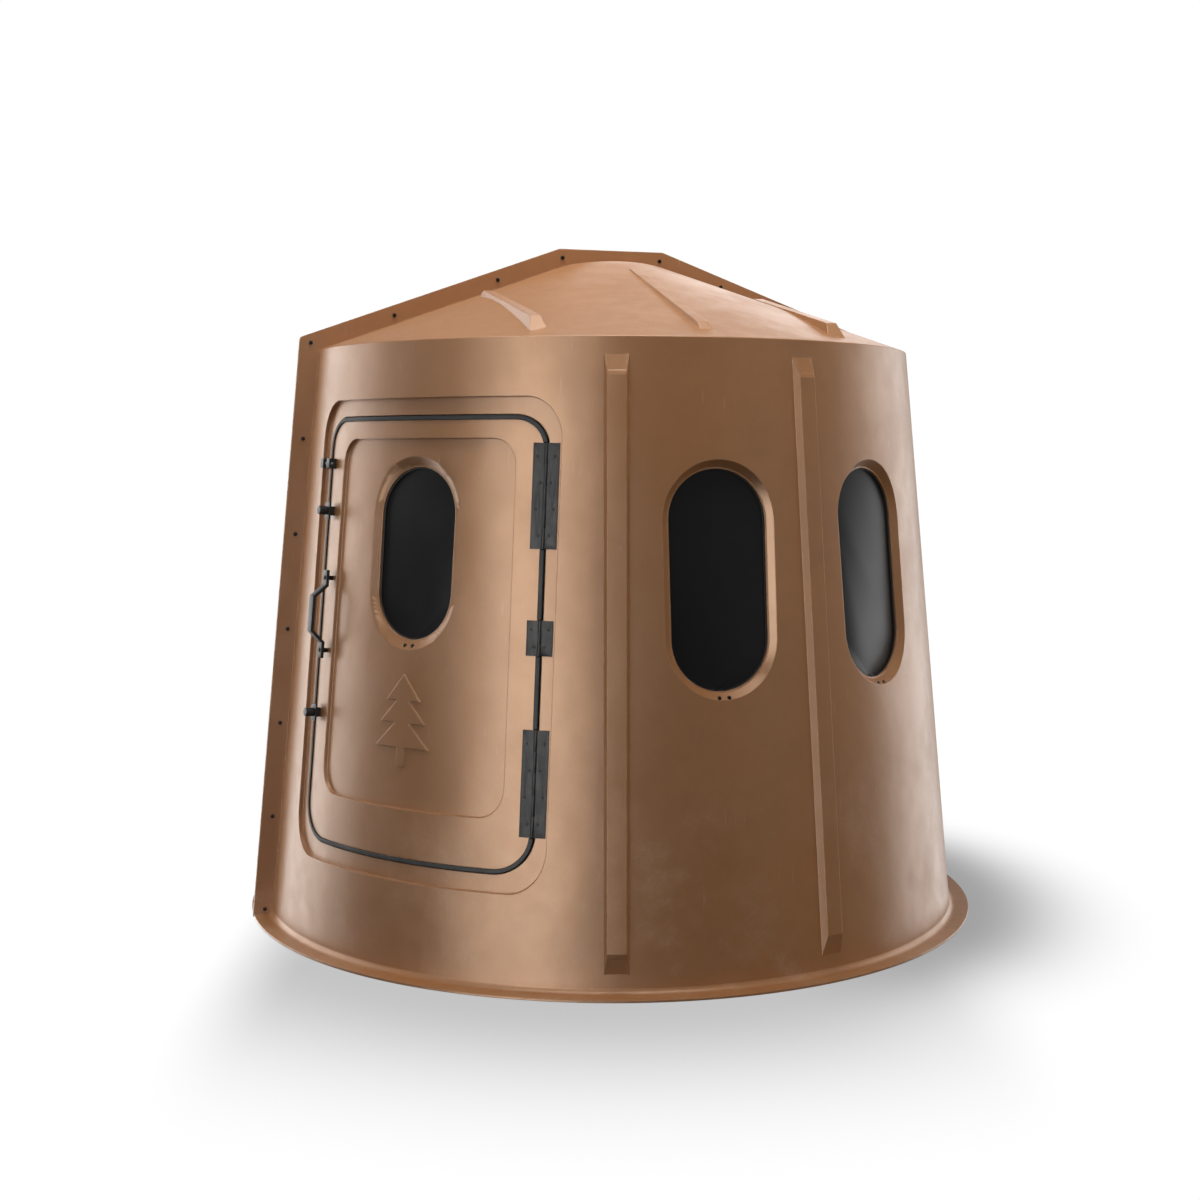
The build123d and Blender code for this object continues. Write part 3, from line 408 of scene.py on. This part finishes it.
def black_rubber():
    """Extruded rubber: dull, finely grained, with a bloom of dust."""
    material, g, paint, _ = new_material("black_rubber")
    dust = g.use(DUST, {"Height": 2.2, "Patch": 30.0})["Mask"]
    mottle = g.use(MOTTLE, {"Scale": 12.0})["Mask"]
    tone = g.blend(mottle, colour(0.008, 0.008, 0.008), colour(0.012, 0.012, 0.012))
    g.put(paint.inputs["Base Color"], g.blend(g.math("MULTIPLY", dust, 0.05), tone, DUST_TONE))
    g.put(paint.inputs["Roughness"], g.ramp(mottle, 0.0, 1.0, 0.55, 0.68))
    paint.inputs["Specular IOR Level"].default_value = 0.3
    grain = g.use(GRAIN, {"Scale": 1400.0, "Coarse": 0.4})["Height"]
    relief(g, paint, grain, 0.3, 0.0002)
    return material


def tinted_sheet():
    """Dark smoked sheet with a faint handled haze."""
    material, g, paint, _ = new_material("tinted_sheet")
    haze = g.use(MOTTLE, {"Scale": 9.0})["Mask"]
    scuff = g.use(SCUFF, {"Scale": 12.0})["Mask"]
    tone = g.blend(haze, colour(0.0092, 0.0092, 0.0094), colour(0.0102, 0.0102, 0.0104))
    g.put(paint.inputs["Base Color"], tone)
    rough = g.ramp(haze, 0.0, 1.0, 0.30, 0.33)
    g.put(paint.inputs["Roughness"], g.math("ADD", rough, g.math("MULTIPLY", scuff, 0.06)))
    paint.inputs["Specular IOR Level"].default_value = 0.2
    relief(g, paint, g.noise(6.0, 1.0), 0.06, 0.002)
    return material


def foam_strip():
    """Closed-cell foam, with its cells showing at the cut edge."""
    material, g, paint, _ = new_material("closed_cell_foam")
    cells = g.add("TexVoronoi", {"Vector": g.place(), "Scale": 700.0}).outputs["Distance"]
    tone = g.blend(cells, colour(0.03, 0.03, 0.03), colour(0.06, 0.058, 0.056))
    g.put(paint.inputs["Base Color"], tone)
    paint.inputs["Roughness"].default_value = 0.9
    relief(g, paint, cells, 0.6, 0.0005)
    return material


MATERIALS = {
    "moulded_shell": moulded_polyethylene(),
    "tinted_pane": tinted_sheet(),
    "black_rubber": black_rubber(),
    "foam_strip": foam_strip(),
    "black_hinge": coated_steel("hinge_coat", colour(0.020, 0.0195, 0.019), 0.56, 0.32, 1500.0),
    "black_hardware": coated_steel("hardware_coat", colour(0.012, 0.012, 0.012), 0.46, 0.35, 1300.0),
    "dark_fixings": coated_steel("blackened_steel", colour(0.004, 0.004, 0.004), 0.45, 0.18, 1800.0,
                                 colour(0.03, 0.028, 0.026)),
}
SLOT_OF = {row["node"]: row["material_slot"] for row in frame["record"]["subparts"]}
BODY_OF = {name: body
           for body, names in frame["record"]["behaviour"]["bodies"].items() for name in names}
for name, node in nodes.items():
    node.data.materials.clear()
    node.data.materials.append(MATERIALS[SLOT_OF[name]])


# ---- rounded pieces ----
# (words in the node's name, edge radius, segments); the first match is used
EDGE_RADII = (
    ("door_seal", 0.0034, 4),
    ("gasket", 0.0009, 2),
    ("pull_handle", 0.0032, 4),
    ("latch_knob", 0.0022, 4),
    ("latch_base", 0.0012, 3),
    ("latch_cam", 0.0010, 2),
    ("lug", 0.0018, 3),
    ("handle_bolts", 0.0012, 3),
    ("frame_screws", 0.0022, 3),
    ("pane_screws", 0.0008, 3),
    ("hinge_wall_screws", 0.0009, 3),
    ("hinge_door_screws", 0.0009, 3),
    ("hinge_pins", 0.0008, 2),
    ("pane_leaf", 0.0003, 2),
    ("frame_leaf", 0.0003, 2),
    ("hinge_", 0.0006, 2),
    ("flange_bolts", 0.0006, 2),
    ("flange_nuts", 0.0006, 2),
    ("flange_washers", 0.0003, 2),
    ("_pane", 0.0012, 3),
)
SHARP = radians(38)             # edges turned by more than this are rounded
FLAT = radians(0.6)             # neighbouring faces within this become one
MERGE = 0.00001                 # corners nearer than this are one


def rounded_piece(node_name, radius, segments):
    """A copy of a metal or rubber piece with its sharp edges rounded over."""
    bm = bmesh.new()
    bm.from_mesh(nodes[node_name].data)
    bmesh.ops.remove_doubles(bm, verts=bm.verts, dist=MERGE)
    bmesh.ops.dissolve_limit(bm, angle_limit=FLAT, verts=bm.verts, edges=bm.edges)
    for face in bm.faces:
        face.smooth = True
    mesh = bpy.data.meshes.new(node_name + "_finished")
    bm.to_mesh(mesh)
    bm.free()
    piece = bpy.data.objects.new(node_name + "_finished", mesh)
    bpy.context.scene.collection.objects.link(piece)
    mesh.materials.clear()
    mesh.materials.append(MATERIALS[SLOT_OF[node_name]])
    edges = piece.modifiers.new("rounded_edges", "BEVEL")
    edges.width = radius
    edges.segments = segments
    edges.limit_method = "ANGLE"
    edges.angle_limit = SHARP
    edges.use_clamp_overlap = True
    edges.harden_normals = True
    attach(piece, BODY_OF[node_name])
    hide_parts(node_name)


for node_name in sorted(nodes):
    for word, radius, segments in EDGE_RADII:
        if word in node_name:
            rounded_piece(node_name, radius, segments)
            break
